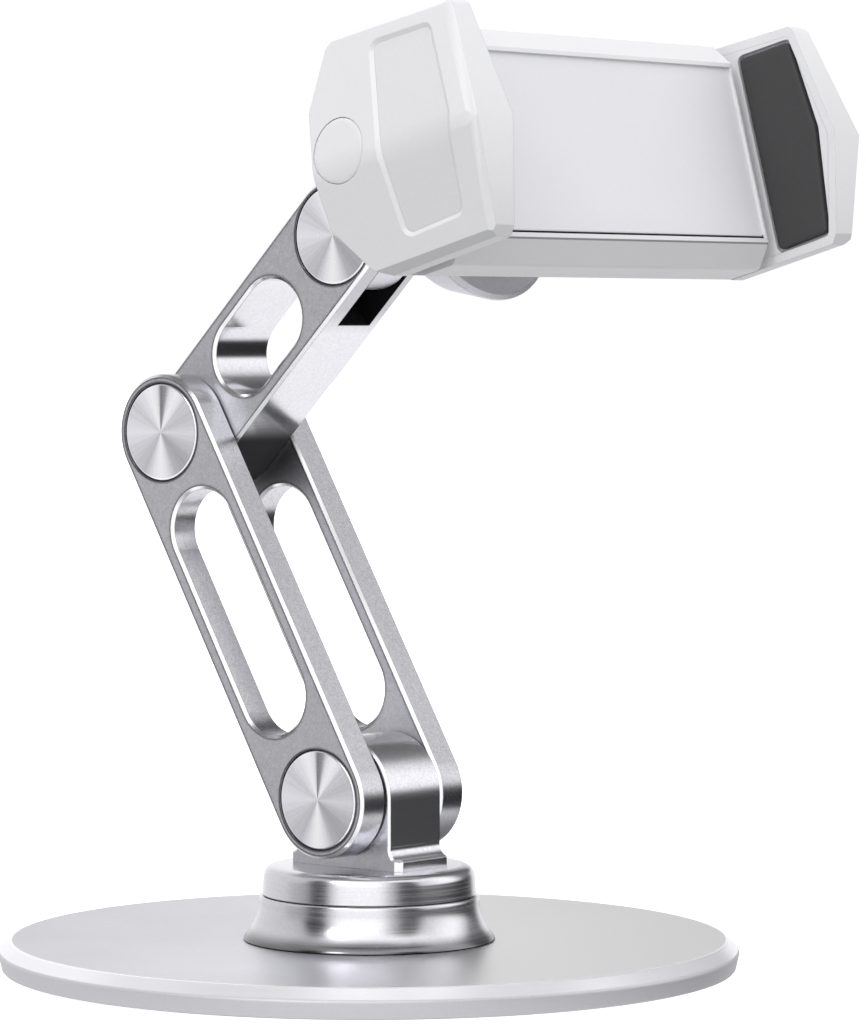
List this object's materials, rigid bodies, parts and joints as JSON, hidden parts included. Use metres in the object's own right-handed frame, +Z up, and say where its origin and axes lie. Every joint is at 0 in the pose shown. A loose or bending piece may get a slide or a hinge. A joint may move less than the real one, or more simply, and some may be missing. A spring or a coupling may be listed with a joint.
{
  "type": "phone stand",
  "caption": "Desktop phone stand: round swivel base, folding two-section metal arm and a tilting, turning clamp holder with self-centring spring jaws.",
  "frame": {"origin": "centre of the round base's underside, on the swivel axis", "axes": "+Z up, +X along the arm's hinge axes from the left plate to the right plate, the holder faces -Y"},
  "size_m": [0.15, 0.1548, 0.1917],
  "materials": {
    "satin_aluminium": "bead-blasted, clear anodised",
    "spun_cap": "spun, lathe-turned face",
    "steel": "zinc plated",
    "bush": "machined",
    "washer": "friction washer",
    "base_pad": "matt",
    "grip_pad": "fine matt texture",
    "white_plastic": "satin",
    "panel_plastic": "satin",
    "acetal": "moulded"
  },
  "bodies": {
    "base": {"base_plate": "satin_aluminium", "anti_slip_pad": "base_pad", "base_screws": "steel", "swivel_base": "satin_aluminium"},
    "turret": {"swivel_cap": "satin_aluminium", "hinge_block_screws": "steel", "friction_washer": "washer", "spindle_bolt": "steel", "wave_washer": "steel", "spindle_nut": "steel", "hinge_block": "satin_aluminium", "base_pivot_bush": "bush"},
    "lower_arm": {"lower_arm_left_plate": "satin_aluminium", "lower_arm_right_plate": "satin_aluminium", "base_pivot_bolt": "steel", "base_pivot_nut": "steel", "elbow_pivot_bolt": "steel", "elbow_pivot_nut": "steel", "base_pivot_cap_left": "spun_cap", "base_pivot_cap_right": "spun_cap", "elbow_cap_left": "spun_cap", "elbow_cap_right": "spun_cap", "base_pivot_washers": "washer", "elbow_washers": "washer"},
    "upper_arm": {"upper_arm": "satin_aluminium", "elbow_bush": "bush", "head_pivot_bolt": "steel", "head_cap_left": "spun_cap", "head_cap_right": "spun_cap"},
    "tilt_head": {"tilt_knuckle": "satin_aluminium", "head_bush": "bush", "head_washers": "washer", "rotation_bolt": "steel", "rotation_washer": "washer", "rotation_wave_washer": "steel"},
    "clamp_body": {"rear_cover": "white_plastic", "front_housing": "white_plastic", "housing_screws": "steel", "front_panel": "panel_plastic", "pinion_pin": "steel", "return_spring": "steel"},
    "pinion": {"pinion": "acetal"},
    "left_jaw": {"left_jaw_shell": "white_plastic", "left_jaw_inner_plate": "white_plastic", "left_jaw_pad": "grip_pad", "left_jaw_inlay": "white_plastic", "left_jaw_screw_cap": "white_plastic", "left_jaw_screw": "steel", "left_slide_arm": "acetal"},
    "right_jaw": {"right_jaw_shell": "white_plastic", "right_jaw_inner_plate": "white_plastic", "right_jaw_pad": "grip_pad", "right_jaw_inlay": "white_plastic", "right_jaw_screw_cap": "white_plastic", "right_jaw_screw": "steel", "right_slide_arm": "acetal"}
  },
  "joints": [
    {"name": "base_swivel", "type": "hinge", "parent": "base", "child": "turret", "pos_m": [0, 0, 0], "axis": [0, 0, 1], "continuous": true},
    {"name": "lower_arm_tilt", "type": "hinge", "parent": "turret", "child": "lower_arm", "pos_m": [0, 0, 0.0355], "axis": [1, 0, 0], "range_deg": [-35, 20]},
    {"name": "upper_arm_tilt", "type": "hinge", "parent": "lower_arm", "child": "upper_arm", "pos_m": [0, 0.04352, 0.10909], "axis": [1, 0, 0], "range_deg": [-50, 10]},
    {"name": "holder_tilt", "type": "hinge", "parent": "upper_arm", "child": "tilt_head", "pos_m": [0, 0.00269, 0.14957], "axis": [1, 0, 0], "range_deg": [-70, 20]},
    {"name": "holder_rotation", "type": "hinge", "parent": "tilt_head", "child": "clamp_body", "pos_m": [0, -0.03595, 0.15993], "axis": [0, -0.9659, 0.2588], "continuous": true},
    {"name": "left_jaw_slide", "type": "slide", "parent": "clamp_body", "child": "left_jaw", "axis": [-1, 0, 0], "range_m": [0, 0.036]},
    {"name": "right_jaw_slide", "type": "slide", "parent": "clamp_body", "child": "right_jaw", "axis": [1, 0, 0], "range_m": [-0.0005, 0.0365]},
    {"name": "pinion_spin", "type": "hinge", "parent": "clamp_body", "child": "pinion", "pos_m": [0, -0.04561, 0.16251], "axis": [0, -0.9659, 0.2588], "range_deg": [-5, 290]}
  ],
  "couplings": [
    {"joint": "right_jaw_slide", "follows": "left_jaw_slide", "ratio": 1},
    {"joint": "pinion_spin", "follows": "left_jaw_slide", "rad_per_m": 138.89}
  ]
}
